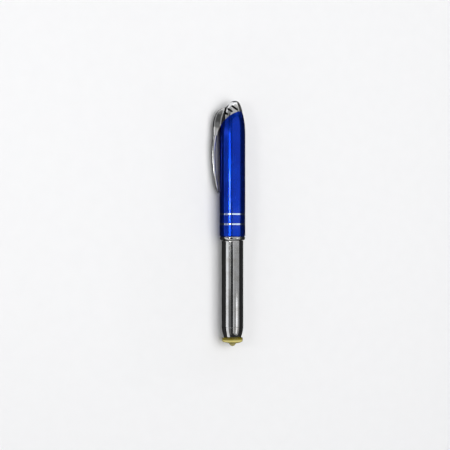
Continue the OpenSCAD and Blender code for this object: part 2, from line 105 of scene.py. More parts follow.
# Where a softened corner's curve starts, and its further point lies: so many edges' lengths along a side, and
# at most the side divided by the second number. Two of a corner's points are further points.
BEND, FLAT = (1, 3), (1.6, 2.2)

# Power that crowds directions at the shoulder, and how often a span is halved.
CROWDING, HALVINGS = 1.6, 45

# Powers of the superellipses of the hood, of the shoulder's spine and plan and of the clip's section, then of
# the mean that blends hood and shoulder, and of the peak's lean.
HOOD_POWER, SPINE_POWER, SHOULDER_POWER, CLIP_POWER = 2.15, 3.2, 5, 3.4
BLEND_POWER, PEAK_POWER = 6, 6

# Radius of the mouth ring's bead as a share of its height, plain wall of the tube below the dome, depth of
# the clip's socket below the crown, and reach of a slot's cutter from the middle plane.
BEAD_SHARE, PLAIN_TOP, SOCKET_DROP, CUT_REACH = 0.6, 4 * MM, 2 * MM, 12 * MM

# Shares of the clip's length for its curve's four points, the share of it that draws in to the tip and how
# far, and the angle that stays open at a pole of its ball.
CLIP_RUN, TIP_SHARE, TIP_DRAW, POLE = (0, 0.25, 0.65, 1), 0.1, 0.88, 0.001


def linear(code):
    """An sRGB hex colour as linear red, green and blue: the sRGB curve undone channel by channel."""
    srgb = np.array([int(code[i:i + 2], 16) for i in (1, 3, 5)]) / 255
    return tuple(float(c) for c in np.where(srgb <= 0.04045, srgb / 12.92, ((srgb + 0.055) / 1.055) ** 2.4))


def length(name, description, size):
    """A length that a user can change, given in millimetres."""
    return FloatProperty(
        name=name, description=description, default=size * MM, min=0, precision=5, unit="LENGTH")


def arc(name, description, degrees):
    """An angle that a user can change, given in degrees."""
    return FloatProperty(name=name, description=description, default=math.radians(degrees), subtype="ANGLE")


def colour(name, description, code):
    """A colour that a user can change, given as sRGB hex."""
    return FloatVectorProperty(
        name=name, description=description, subtype="COLOR", size=3, min=0, max=1, default=linear(code))


class PenTorchSizes(bpy.types.PropertyGroup):
    """Sizes of the barrel and of the torch in its end"""

    lamp_radius: length("Lamp radius", "Radius of the lamp's dome", 1.5)
    lamp_length: length("Lamp length", "Length of the lamp", 5.4)
    lamp_flange: length("Lamp flange", "Width of the lamp's flange beyond its body", 0.4)
    flange_thick: length("Flange thickness", "Thickness of the lamp's flange", 1)
    lamp_room: length("Lamp room", "Gap between the lamp and its hole in the lens", 0.1)
    lens_radius: length("Lens radius", "Radius of the lens rim", girth("lens"))
    lens_edge: length("Lens edge", "Straight edge of the lens rim", 1.3)
    lens_face: length("Lens face", "Where the middle of the lens would lie, from the lamp's dome", 1.2)
    lens_neck: length("Lens neck", "Wall of the lens round the lamp's flange", 0.5)
    head_radius: length("Head radius", "Radius of the head at the lens", 3.7)
    head_bulge: length("Head bulge", "Swell of the head's taper in the middle", 0.2)
    barrel_radius: length("Barrel radius", "Outer radius of the barrel", girth("barrel_tube"))
    barrel_wall: length("Barrel wall", "Wall of the barrel", 0.5)
    edge: length("Edge", "Broken edge where two turned pieces meet", 0.12)


class PenWritingSizes(bpy.types.PropertyGroup):
    """Sizes of the writing end under the cap"""

    grip_radius: length("Grip radius", "Radius of the straight part of the grip", girth("grip_section"))
    grip_straight: length("Grip straight", "Length of the straight part of the grip", 12)
    grip_end: length("Grip end", "Radius of the grip where the nose starts", 3.3)
    bush_wall: length("Bush wall", "Wall of the coupling bush round the grip's stem", 0.96)
    ring_wire: length("O-ring wire", "Thickness of the o-ring", 0.9)
    nose_bulge: length("Nose bulge", "Swell of the nose in the middle", 0.35)
    nose_mouth: length("Nose mouth", "Radius of the nose at its mouth", 1.6)
    refill_radius: length("Refill radius", "Radius of the refill", 1.2)
    refill_wall: length("Refill wall", "Wall of the refill's tube", 0.33)
    tip_stem: length("Tip stem", "Length of the tip's stem in the refill's tube", 3)
    tip_straight: length("Tip straight", "Length of the tip's straight part below the nose", 0.4)
    tip_wall: length("Tip wall", "Wall of the tip round the ball", 0.14)
    ink_bore: length("Ink bore", "Radius of the ink's way through the tip", 0.3)
    ball_radius: length("Ball radius", "Radius of the writing ball", girth("writing_ball"))


class PenCapSizes(bpy.types.PropertyGroup):
    """Sizes of the cap, its rings and its crown"""

    radius: length("Cap radius", "Outer radius of the cap", girth("cap_tube"))
    wall: length("Cap wall", "Wall of the cap", 0.82)
    mouth_wall: length("Mouth wall", "Wall of the mouth ring inside the cap", 0.5)
    mouth_sink: length("Mouth sink", "How far the mouth ring's bead stays inside the cap's radius", 0.1)
    ring_depth: length("Ring depth", "Depth of a trim ring in the cap", 0.36)
    ring_split: length("Ring split", "Split of a trim ring", 0.4)
    dome: length("Dome", "Height of the crown's dome above the straight tube", 15.2)
    peak_shift: length("Peak shift", "Shift of the peak away from the clip", 1.2)
    reach: length("Shoulder reach", "Reach of the shoulder from the axis", 8.7)
    shoulder: length("Shoulder width", "Width of the shoulder", 4.6)
    shoulder_rise: length("Shoulder rise", "Height of the shoulder above the straight tube", 12.5)
    roof: length("Crown roof", "Thickness of the crown under its peak", 1.6)
    seam_radius: length("Seam radius", "Radius of the curved seam between tube and crown", 13.9)
    seam_offset: length("Seam offset", "Distance of the seam's centre from the axis", 6.7)
    seam_drop: length("Seam drop", "Depth of the seam's centre below the peak", 18.25)
    seam_gap: length("Seam gap", "Open line between tube and crown", 0.03)
    slots: IntProperty(name="Slots", description="Slots on each cheek of the crown", default=3, min=1, max=4)
    slot_width: length("Slot width", "Width of a slot", 0.95)
    slot_length: length("Slot length", "Length of the slot nearest the peak", 3.3)
    slot_step: length("Slot step", "How much shorter each next slot is", 0.55)
    slot_rise: length("Slot rise", "Distance of the slot nearest the peak above the seam", 2.2)
    slot_sink: length("Slot sink", "How much nearer the seam each next slot lies", 0.2)
    slot_turn: arc("Slot turn", "Turn of the slot nearest the peak about the seam", 21.3)
    slot_pitch: arc("Slot pitch", "Turn from one slot to the next about the seam", 7.9)
    slot_lean: arc("Slot lean", "Lean of the slots from the axis", 53)
    slot_floor: length("Slot floor", "Distance of a slot's floor from the middle plane", 1.4)


class PenClipSizes(bpy.types.PropertyGroup):
    """Sizes of the clip"""

    drop: length("Clip length", "Length of the clip below the shoulder", 25.1)
    start: length("Clip start", "Open line between the shoulder and the clip", 0.3)
    width: length("Clip width", "Width at the shoulder", 4)
    tip_width: length("Tip width", "Width at the tip", 3)
    thick: length("Clip thickness", "Thickness at the shoulder", 2)
    tip_thick: length("Tip thickness", "Thickness at the tip", 1.15)
    bow: length("Clip bow", "Bow of the clip away from the cap", 1.15)
    air: length("Clip air", "Air under the ball at the tip", 0.12)
    ball: length("Clip ball", "Radius of the ball at the tip", 0.5)
    root: length("Clip root", "Radius of the rolled root in the shoulder", 0.5)
    root_width: length("Root width", "Width of the rolled root", 3)
    root_room: length("Root room", "Room beside the neck in which the clip swings", 0.2)
    neck: length("Clip neck", "Thickness of the neck below the root", 0.6)
    neck_sink: length("Neck sink", "How far the neck reaches into the clip", 1.4)


class PenColours(bpy.types.PropertyGroup):
    """Colours of the pen's finishes"""

    lacquer: colour("Lacquer", "Blue lacquer in the light", "#0e48e0")
    lacquer_deep: colour("Deep lacquer", "Blue lacquer where it lies thicker", "#0730bc")
    chrome: colour("Chrome", "Clean chrome plate", "#e6e7e8")
    chrome_dull: colour("Dull chrome", "Chrome plate dulled by hands", "#cfcdc9")
    silver: colour("Silver trim", "Trim rings", "#cfdeff")
    # The lens's two colours are a lit and a shaded copy of one yellow: together they paint a bright rim highlight
    # and painted shade on the lens.
    acrylic: colour("Acrylic", "Yellow lens at its bright edge", "#dcd084")
    acrylic_deep: colour("Deep acrylic", "Yellow lens where it is thick", "#6e630a")
    epoxy: colour("Epoxy", "Clear epoxy of the lamp", "#8f8a58")
    black: colour("Black plastic", "Moulded black plastic", "#0f1012")
    white: colour("White plastic", "Moulded natural plastic", "#e2e0d8")
    brass: colour("Brass", "Turned brass", "#caa24e")
    steel: colour("Steel", "Drawn steel", "#b4b6ba")
    rubber: colour("Rubber", "Rubber of the o-ring", "#141414")
    floor: colour("Floor", "Pale floor", "#f1f1f2")


class PenStageSettings(bpy.types.PropertyGroup):
    """Camera and studio"""

    lens: FloatProperty(name="Camera lens", description="Focal length in millimetres", default=100, min=20)
    view_width: length("View width", "Width of the picture at the pen", 198)
    axis_right: length("Axis right", "Distance of the pen's axis right of the picture's middle", 3.26)
    pen_up: length("Pen up", "Distance of the pen's middle above the picture's middle", 0.66)


def stacked(*parts):
    """Coordinates spread over one another as whole arrays, and put together as points."""
    return np.stack(np.broadcast_arrays(*parts), axis=-1)


def turns(count):
    """Even turns round a full circle."""
    return np.linspace(0, 2 * math.pi, count, endpoint=False)


def lay(points):
    """Points of the upright pen, z along it from the lamp's dome and the clip towards -x, laid down in the
    row frame: the pen turns about its axis by the roll, and its axis becomes Y."""
    x, y, z = np.moveaxis(np.asarray(points, dtype=float), -1, 0)
    turn, lean = math.cos(ROLL), math.sin(ROLL)
    return stacked(BARREL[0] + x * turn + y * lean, CAD_BOX[0][1] + z, BARREL[2] + x * lean - y * turn)


def quads(rows, cols, loop_rows, first=0):
    """Quads of a grid of points whose columns close round, and whose rows close where loop_rows is set."""
    i, j = np.meshgrid(np.arange(rows if loop_rows else rows - 1), np.arange(cols), indexing="ij")
    up, on = (i + 1) % rows, (j + 1) % cols
    corners = stacked(i * cols + j, i * cols + on, up * cols + on, up * cols + j)
    return (first + corners.reshape(-1, 4)).tolist()


def turned(profile, way):
    """Surface of revolution: each profile point (radius, height) carried through the turns about the axis."""
    radius, height = np.asarray(profile, dtype=float).T[:, :, None]
    return stacked(radius * np.cos(way), radius * np.sin(way), height)


def softened(corners, edge):
    """Closed outline whose corners are quadratic curves that start and end an edge's length from the corner,
    or a third of a shorter side. A further point on each side keeps the flats next to it flat. An edge of 0
    leaves a corner as it is."""
    corners = np.asarray(corners, dtype=float)
    edge = np.broadcast_to(np.asarray(edge, dtype=float), len(corners))[:, None]

    def off(neighbour, edges, parts):
        """A point for each corner, some edges' lengths along a side and at most a part of that side."""
        side = np.roll(corners, neighbour, axis=0) - corners
        far = np.linalg.norm(side, axis=1)[:, None]
        return (corners + side / far * np.minimum(edges * edge, far / parts))[:, None]

    t = np.linspace(0, 1, CORNER - 2)[None, :, None]
    curve = (1 - t) ** 2 * off(1, *BEND) + 2 * t * (1 - t) * corners[:, None] + t ** 2 * off(-1, *BEND)
    return np.concatenate([off(1, *FLAT), curve, off(-1, *FLAT)], axis=1).reshape(-1, 2)


def broken(parts, edges):
    """Closed outline through points and rows of points, whose numbered corners are softened by their own
    edges, with the others left sharp."""
    points = np.vstack(parts)
    each = np.zeros(len(points))
    each[list(edges)] = list(edges.values())
    return softened(points, each)


def swollen(start, end, bulge, low, high):
    """Profile from one radius to another between two heights, with a parabola's swell in the middle."""
    t = np.linspace(0, 1, CURVE)
    return stacked(start + (end - start) * t + 4 * bulge * t * (1 - t), low + (high - low) * t)


def prism(outline, low, high):
    """An outline in the plane of axis and clip, (x, z), as two rings across the pen, low and high."""
    x, z = np.asarray(outline, dtype=float).T
    return stacked(x, np.array([[low], [high]]), z)


def lofted(*shells):
    """Points and faces of closed shells, each a skin through its rings with a flat face at each end."""
    points, faces = np.zeros((0, 3)), []
    for rings in shells:
        rows, cols = rings.shape[:2]
        first = len(points)
        last = first + (rows - 1) * cols
        faces += quads(rows, cols, False, first)
        faces += [(first + np.arange(cols)[::-1]).tolist(), (last + np.arange(cols)).tolist()]
        points = np.concatenate([points, rings.reshape(-1, 3)])
    return points, faces


def soft_shaded(mesh):
    """Shades a mesh soft over its shallow bends."""
    mesh.shade_smooth()
    mesh.set_sharp_from_angle(angle=SOFT_BEND)


def placed(name, data):
    """New object at the origin, linked to the scene."""
    made = bpy.data.objects.new(name, data)
    bpy.context.scene.collection.objects.link(made)
    return made


def mesh_object(name, points, faces):
    """Mesh object laid down in the row frame, with doubles merged, faces outwards and soft shading."""
    mesh = bpy.data.meshes.new(name)
    mesh.from_pydata(lay(points).tolist(), [], faces)
    work = bmesh.new()
    work.from_mesh(mesh)
    bmesh.ops.remove_doubles(work, verts=work.verts, dist=MERGE)
    bmesh.ops.recalc_face_normals(work, faces=work.faces)
    work.to_mesh(mesh)
    work.free()
    soft_shaded(mesh)
    return placed(name, mesh)


def skinned(name, grid, closed):
    """Mesh object of a grid of points whose columns close round, and whose rows close where closed is set."""
    return mesh_object(name, grid.reshape(-1, 3), quads(*grid.shape[:2], closed))


def stands_for(piece, node, look):
    """The piece takes a CAD node's place and its body, and gets its finish."""
    bodies, subparts = frame["record"]["behaviour"]["bodies"], frame["record"]["subparts"]
    piece.data.materials.clear()
    piece.data.materials.append(finish(look))
    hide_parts(node)
    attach(piece, next(body for body, nodes in bodies.items() if node in nodes))


def turned_piece(name, profile, look, node=None, closed=True):
    """A turned piece: its profile carried round the axis, closed on itself or ending on the axis. It stands
    for the node of its own name or of another."""
    stands_for(skinned(name, turned(profile, turns(ROUND)), closed), node or name, look)


def add(tree, kind, inputs=(), **settings):
    """Adds a shader node with its settings. An input given as a socket, or as a node for its first output, is
    linked, and any other is set."""
    node = tree.nodes.new("ShaderNode" + kind)
    for key, value in settings.items():
        setattr(node, key, value)
    for key, value in dict(inputs).items():
        value = value.outputs[0] if isinstance(value, bpy.types.Node) else value
        if isinstance(value, bpy.types.NodeSocket):
            tree.links.new(value, node.inputs[key])
        else:
            node.inputs[key].default_value = value
    return node


def blank(name, **constants):
    """New material with its shader's constants set, returned with its tree and Object coordinates."""
    material = bpy.data.materials.new(name)
    material.use_nodes = True
    tree = material.node_tree
    for key, value in constants.items():
        tree.nodes["Principled BSDF"].inputs[key.replace("_", " ")].default_value = value
    return material, tree, add(tree, "TexCoord").outputs["Object"]


def wired(material, share, first, second, gloss=None, bump=None):
    """Mixes a finish's two colours by a share, links the mix, the roughness and the bump to its shader, and
    returns the finish."""
    tree, shader = material.node_tree, material.node_tree.nodes["Principled BSDF"]
    tone = add(tree, "Mix", {0: share, 6: first, 7: second}, data_type="RGBA")
    tree.links.new(tone.outputs[2], shader.inputs["Base Color"])
    for source, socket in ((gloss, "Roughness"), (bump, "Normal")):
        if source is not None:
            tree.links.new(source.outputs[0], shader.inputs[socket])
    return material


def shade(tint, by=1.0):
    """A colour made darker or lighter by a factor, with full alpha."""
    return (*[min(1, by * c) for c in tint], 1)


def per_metre(size):
    """Pattern scale that makes a texture's cells a given number of millimetres wide."""
    return 1000 / size


def stoving_lacquer(name, colours):
    """Stoving lacquer, sprayed on brass and polished: one deep blue under a hard gloss. The eye sees long
    clean highlights, a slight drift of depth, a faint orange peel and fine wipe marks along the pen."""
    material, tree, place = blank(
        name, Coat_Weight=0.24, Coat_Roughness=0.03, Metallic=0.95, Specular_IOR_Level=0.2)
    drift = add(tree, "TexNoise", {"Vector": place, "Scale": per_metre(9), "Detail": 1.0})
    depth = add(tree, "MapRange", {
        "Value": drift, "From Min": 0.3, "From Max": 0.7, "To Min": 0.15, "To Max": 0.7})
    along = add(tree, "Mapping", {"Vector": place, "Scale": (1, 0.05, 1)})
    wipes = add(tree, "TexNoise", {"Vector": along, "Scale": per_metre(0.4), "Detail": 3.0})
    gloss = add(tree, "MapRange", {
        "Value": wipes, "From Min": 0.35, "From Max": 0.75, "To Min": 0.18, "To Max": 0.3})
    peel = add(tree, "TexNoise", {"Vector": place, "Scale": per_metre(0.9), "Detail": 1.0})
    bump = add(tree, "Bump", {"Height": peel, "Strength": 0.04, "Distance": 0.02 * MM})
    return wired(material, depth, shade(colours.lacquer), shade(colours.lacquer_deep), gloss, bump)


def buffed_chrome_plate(name, colours):
    """Chrome plated over polished brass: a hard, nearly colourless mirror. The eye sees sharp reflections,
    warmer and softer in the faint film that hands leave, and buffing lines round the pen. Real buffing lines
    are under a tenth of a millimetre apart and are drawn four times coarser so that they show."""
    material, tree, place = blank(name, Metallic=1.0)
    film = add(tree, "TexNoise", {"Vector": place, "Scale": per_metre(5), "Detail": 3.0, "Roughness": 0.6})
    share = add(tree, "MapRange", {
        "Value": film, "From Min": 0.45, "From Max": 0.75, "To Min": 0.0, "To Max": 1.0})
    across = add(tree, "Mapping", {"Vector": place, "Scale": (0.04, 1, 0.04)})
    lines = add(tree, "TexNoise", {"Vector": across, "Scale": per_metre(0.35), "Detail": 2.0})
    clean = add(tree, "MapRange", {
        "Value": lines, "From Min": 0.3, "From Max": 0.75, "To Min": 0.05, "To Max": 0.1})
    gloss = add(tree, "Math", {0: share, 1: 0.03, 2: clean}, operation="MULTIPLY_ADD")
    return wired(material, share, shade(colours.chrome), shade(colours.chrome_dull), gloss)


def burnished_silver_plate(name, colours):
    """Flat brass strip, silver plated and burnished: the eye sees a cool bright line with turning marks."""
    material, tree, place = blank(name, Metallic=1.0)
    across = add(tree, "Mapping", {"Vector": place, "Scale": (0.05, 1, 0.05)})
    lines = add(tree, "TexNoise", {"Vector": across, "Scale": per_metre(0.12), "Detail": 2.0})
    gloss = add(tree, "MapRange", {"Value": lines, "To Min": 0.06, "To Max": 0.12})
    patch = add(tree, "TexNoise", {"Vector": place, "Scale": per_metre(2), "Detail": 2.0})
    return wired(material, patch, shade(colours.silver), shade(colours.silver, 0.9), gloss)


def yellow_acrylic(name, colours):
    """Acrylic dyed yellow, moulded and flame polished. Its colour carries painted light: a painted bright rim
    highlight where the face starts, painted shade that makes the body darker olive, and soft flow lines from the
    mould."""
    material, tree, place = blank(
        name, IOR=1.49, Subsurface_Weight=0.35, Subsurface_Scale=0.6 * MM, Subsurface_Radius=(1, 0.9, 0.3))
    flow = add(tree, "TexNoise", {
        "Vector": place, "Scale": per_metre(1.6), "Detail": 2.0, "Distortion": 0.8})
    rim = bpy.context.scene.pen_torch.lens_edge
    along = add(tree, "SeparateXYZ", {"Vector": place}).outputs[1]
    face_start = CAD_BOX[0][1] + span("torch_head")[0] - rim
    beyond = add(tree, "Math", {0: along, 1: face_start}, operation="SUBTRACT")
    apart = add(tree, "Math", {0: beyond}, operation="ABSOLUTE")
    # Painted highlight and shade: the lens is drawn in its lit yellow at the line where the face starts and goes
    # over to its shaded olive away from it. The flow lines add a little real drift.
    body = add(tree, "MapRange", {
        "Value": apart, "From Min": 0.1 * rim, "From Max": 0.6 * rim, "To Min": 0.0, "To Max": 0.85})
    depth = add(tree, "Math", {0: flow, 1: 0.25, 2: body}, operation="MULTIPLY_ADD")
    gloss = add(tree, "MapRange", {"Value": flow, "To Min": 0.1, "To Max": 0.22})
    return wired(material, depth, shade(colours.acrylic), shade(colours.acrylic_deep), gloss)


def clear_epoxy(name, colours):
    """Epoxy cast round the lamp's chip: the eye sees clear gloss with a pale cast from the phosphor."""
    material, tree, place = blank(name, IOR=1.53, Transmission_Weight=0.35)
    haze = add(tree, "TexNoise", {"Vector": place, "Scale": per_metre(1.2), "Detail": 1.0})
    gloss = add(tree, "MapRange", {"Value": haze, "To Min": 0.04, "To Max": 0.12})
    return wired(material, haze, shade(colours.epoxy), shade(colours.acrylic), gloss)


def moulded_plastic(name, colours, tint, grain, gloss_low, gloss_high):
    """Plastic or rubber moulded in a spark-eroded tool: the eye sees an even body colour, a fine tooth and a
    dull sheen. The grain of a real tool is near a tenth of a millimetre and is drawn coarser so that it
    shows."""
    material, tree, place = blank(name, IOR=1.5)
    tint = getattr(colours, tint)
    tooth = add(tree, "TexNoise", {"Vector": place, "Scale": per_metre(grain), "Detail": 2.0})
    drift = add(tree, "TexNoise", {"Vector": place, "Scale": per_metre(14 * grain), "Detail": 1.0})
    gloss = add(tree, "MapRange", {"Value": tooth, "To Min": gloss_low, "To Max": gloss_high})
    bump = add(tree, "Bump", {"Height": tooth, "Strength": 0.25, "Distance": 0.03 * MM})
    return wired(material, drift, shade(tint, 0.85), shade(tint, 1.12), gloss, bump)


def turned_metal(name, colours, tint, pitch, gloss_low, gloss_high):
    """Metal turned or drawn to size and left bare: the eye sees fine tool marks round the pen, and a tarnish
    that drifts slowly."""
    material, tree, place = blank(name, Metallic=1.0)
    tint = getattr(colours, tint)
    across = add(tree, "Mapping", {"Vector": place, "Scale": (0.03, 1, 0.03)})
    marks = add(tree, "TexNoise", {"Vector": across, "Scale": per_metre(pitch), "Detail": 2.0})
    tarnish = add(tree, "TexNoise", {"Vector": place, "Scale": per_metre(4), "Detail": 2.0})
    gloss = add(tree, "MapRange", {"Value": marks, "To Min": gloss_low, "To Max": gloss_high})
    bump = add(tree, "Bump", {"Height": marks, "Strength": 0.1, "Distance": 0.01 * MM})
    return wired(material, tarnish, shade(tint), shade(tint, 0.72), gloss, bump)


# Each finish's function with its colour, the size of its grain or tool marks in mm, and its roughness.
FINISHES = {
    "stoving_lacquer": (stoving_lacquer,),
    "buffed_chrome_plate": (buffed_chrome_plate,),
    "burnished_silver_plate": (burnished_silver_plate,),
    "yellow_acrylic": (yellow_acrylic,),
    "clear_epoxy": (clear_epoxy,),
    "moulded_abs": (moulded_plastic, "black", 0.45, 0.32, 0.5),
    "natural_polythene": (moulded_plastic, "white", 0.8, 0.4, 0.55),
    "nitrile_rubber": (moulded_plastic, "rubber", 0.3, 0.6, 0.8),
    "turned_brass": (turned_metal, "brass", 0.2, 0.16, 0.34),
    "drawn_steel": (turned_metal, "steel", 0.25, 0.2, 0.38),
}


def finish(name):
    """The pen's finish of that name, made on first use."""
    maker, *values = FINISHES[name]
    return bpy.data.materials.get(name) or maker(name, bpy.context.scene.pen_colours, *values)


def dome_share(rise, power):
    """How much of its width a superellipse of that power keeps at a share of its height."""
    return np.maximum(0, 1 - np.clip(rise, 0, 1) ** power) ** (1 / power)


def tube_radius(cap, height, inset=0.0):
    """Radius of the round tube and of the dome above it: straight, then a superellipse up to the peak."""
    base = PEAK - cap.dome
    return cap.radius * dome_share((height - base) / cap.dome, HOOD_POWER) - inset


def tube_wall(cap, angle, height, inset=0.0):
    """Points of the tube's wall: each direction's own heights, at the tube's radius less an inset."""
    radius = tube_radius(cap, height, inset)
    return stacked(radius * np.cos(angle), radius * np.sin(angle), height)


def crown_radius(cap, angle, height):
    """Radius of the crown in a direction, at a height above the straight tube.
    On the clip's side it is the power mean of the round hood and of an oblong shoulder that ends lower."""
    hood = tube_radius(cap, PEAK - cap.dome + height)
    reach = (cap.reach ** BLEND_POWER - cap.radius ** BLEND_POWER) ** (1 / BLEND_POWER)
    along, across = np.abs(np.cos(angle)) / reach, np.abs(np.sin(angle)) / (cap.shoulder / 2)
    oblong = (along ** SHOULDER_POWER + across ** SHOULDER_POWER) ** (-1 / SHOULDER_POWER)
    shoulder = oblong * dome_share(height / cap.shoulder_rise, SPINE_POWER)
    blend = (hood ** BLEND_POWER + shoulder ** BLEND_POWER) ** (1 / BLEND_POWER)
    return np.where(np.cos(angle) > 0, hood, blend)


def dome_point(cap, angle, rise):
    """Point of the crown in a direction: rows lie closer together towards the peak, and lean over to it by a
    power of the height."""
    up = np.sin(rise) ** (2 / HOOD_POWER)
    radius = crown_radius(cap, angle, cap.dome * up)
    return stacked(radius * np.cos(angle) + cap.peak_shift * up ** PEAK_POWER, radius * np.sin(angle),
                   PEAK - cap.dome + cap.dome * up)


def beyond_seam(cap, x, z, gap=0.0):
    """Distance of a point outside the seam, a cylinder across the pen."""
    return np.hypot(x - cap.seam_offset, z - (PEAK - cap.seam_drop)) - (cap.seam_radius - gap)


def seam_height(cap, x):
    """Height of the seam's cylinder over a distance from the axis."""
    return PEAK - cap.seam_drop + np.sqrt(cap.seam_radius ** 2 - (x - cap.seam_offset) ** 2)


def halved(beyond, low, high):
    """Where each direction's line leaves the seam: spans are halved towards the change of sign."""
    for _ in range(HALVINGS):
        middle = (low + high) / 2
        within = beyond(middle) < 0
        low, high = np.where(within, middle, low), np.where(within, high, middle)
    return low


def wall_top(cap, angle, high, inset, gap=0.0):
    """Where the tube's wall, less an inset, meets the seam in each direction, searched up to a height."""
    return halved(lambda z: beyond_seam(cap, tube_radius(cap, z, inset) * np.cos(angle), z, gap),
                  PEAK - cap.seam_drop, high)


def directions(count):
    """Directions round the axis, closer together along the shoulder, which lies at half a turn."""
    share = np.linspace(-1, 1, count, endpoint=False)
    return math.pi + math.pi * np.sign(share) * np.abs(share) ** CROWDING


def slot_outline(cap, index):
    """Outline of a slot, two half circles joined by straights, in its place in the row along the seam."""
    half = (cap.slot_length - index * cap.slot_step - cap.slot_width) / 2
    turn = turns(SLOT_ROUND)
    x = cap.slot_width / 2 * np.cos(turn)
    z = cap.slot_width / 2 * np.sin(turn) + np.where(np.sin(turn) > 0, half, -half)
    way, lean = cap.slot_turn + index * cap.slot_pitch, cap.slot_lean
    reach = cap.seam_radius + cap.slot_rise - index * cap.slot_sink
    return stacked(cap.seam_offset - reach * math.sin(way) + x * math.cos(lean) - z * math.sin(lean),
                   PEAK - cap.seam_drop + reach * math.cos(way) + x * math.sin(lean) + z * math.cos(lean))


def clip_root():
    """Middle of the clip's rolled root, from the joint it turns on, in the upright pen."""
    x, z = CLIP_JOINT["pos_m"][0] - BARREL[0], CLIP_JOINT["pos_m"][2] - BARREL[2]
    return x * math.cos(ROLL) + z * math.sin(ROLL), CLIP_JOINT["pos_m"][1] - CAD_BOX[0][1]


def cut(piece, cutter, wall_finish):
    """Takes the cutter's solid out of the piece by an exact Boolean, gives the walls of the cut the finish given,
    and deletes the cutter."""
    cutter.data.materials.append(finish(wall_finish))
    step = piece.modifiers.new("cut", "BOOLEAN")
    step.object, step.operation, step.solver = cutter, "DIFFERENCE", "EXACT"
    step.material_mode = "TRANSFER"
    bpy.context.view_layer.update()
    mesh = bpy.data.meshes.new_from_object(piece.evaluated_get(bpy.context.evaluated_depsgraph_get()))
    piece.modifiers.clear()
    piece.data = mesh
    bpy.data.objects.remove(cutter)
    soft_shaded(mesh)


class PEN_OT_torch(bpy.types.Operator):
    """Barrel, and the tapered head, lens and lamp in its end, all turned about the pen's axis"""

    bl_idname = "pen.torch"
    bl_label = "Barrel and torch"

    def execute(self, context):
        size = context.scene.pen_torch
        outside, bore = size.barrel_radius, size.barrel_radius - size.barrel_wall
        low, high = span("barrel_tube")
        turned_piece("barrel", softened(
            [[bore, low], [outside, low], [outside, high], [bore, high]],
            [0.04 * MM, size.edge, 1.6 * size.edge, 0.04 * MM]), "buffed_chrome_plate", "barrel_tube")

        head_low, head_high = span("torch_head")
        hole, flange = size.lamp_radius + size.lamp_room, size.lamp_radius + size.lamp_flange
        wide = flange + size.lamp_room
        seat, spigot, joint = wide + size.lens_neck, bore - SLIP, low - FIT
        taper = swollen(size.head_radius, outside, size.head_bulge, head_low, joint)
        turned_piece("torch_head", broken(
            [[seat, head_low], taper, [spigot, joint], [spigot, head_high], [seat, head_high]],
            {0: 0.05 * MM, 1: size.edge, len(taper): size.edge}), "buffed_chrome_plate")

        lens_high, lamp_high = span("lens")[1], span("lamp_holder")[0]
        under = lamp_high - size.flange_thick
        neck, recess = seat - FIT, under - SLIP
        edge_start = head_low - size.lens_edge
        across = hole + (size.lens_radius - hole) * np.sin(np.linspace(0, math.pi / 2, LENS_ROWS))
        rise = np.sqrt(np.maximum(0, 1 - (across / size.lens_radius) ** 2))
        dome = stacked(across, edge_start - (edge_start - size.lens_face) * rise)
        turned_piece("lens", broken(
            [dome, [size.lens_radius, head_low], [neck, head_low], [neck, lens_high],
             [wide, lens_high], [wide, recess], [hole, recess]],
            {0: 0.06 * MM, len(dome): 0.15 * MM}), "yellow_acrylic")

        way = np.linspace(0, math.pi / 2, CURVE)
        bulb = stacked(size.lamp_radius * np.sin(way),
                       lamp_high - size.lamp_length + size.lamp_radius * (1 - np.cos(way)))
        turned_piece("lamp", np.vstack([
            bulb, [size.lamp_radius, under], [flange, under], [flange, lamp_high], [0, lamp_high]]),
            "clear_epoxy", closed=False)
        return {"FINISHED"}


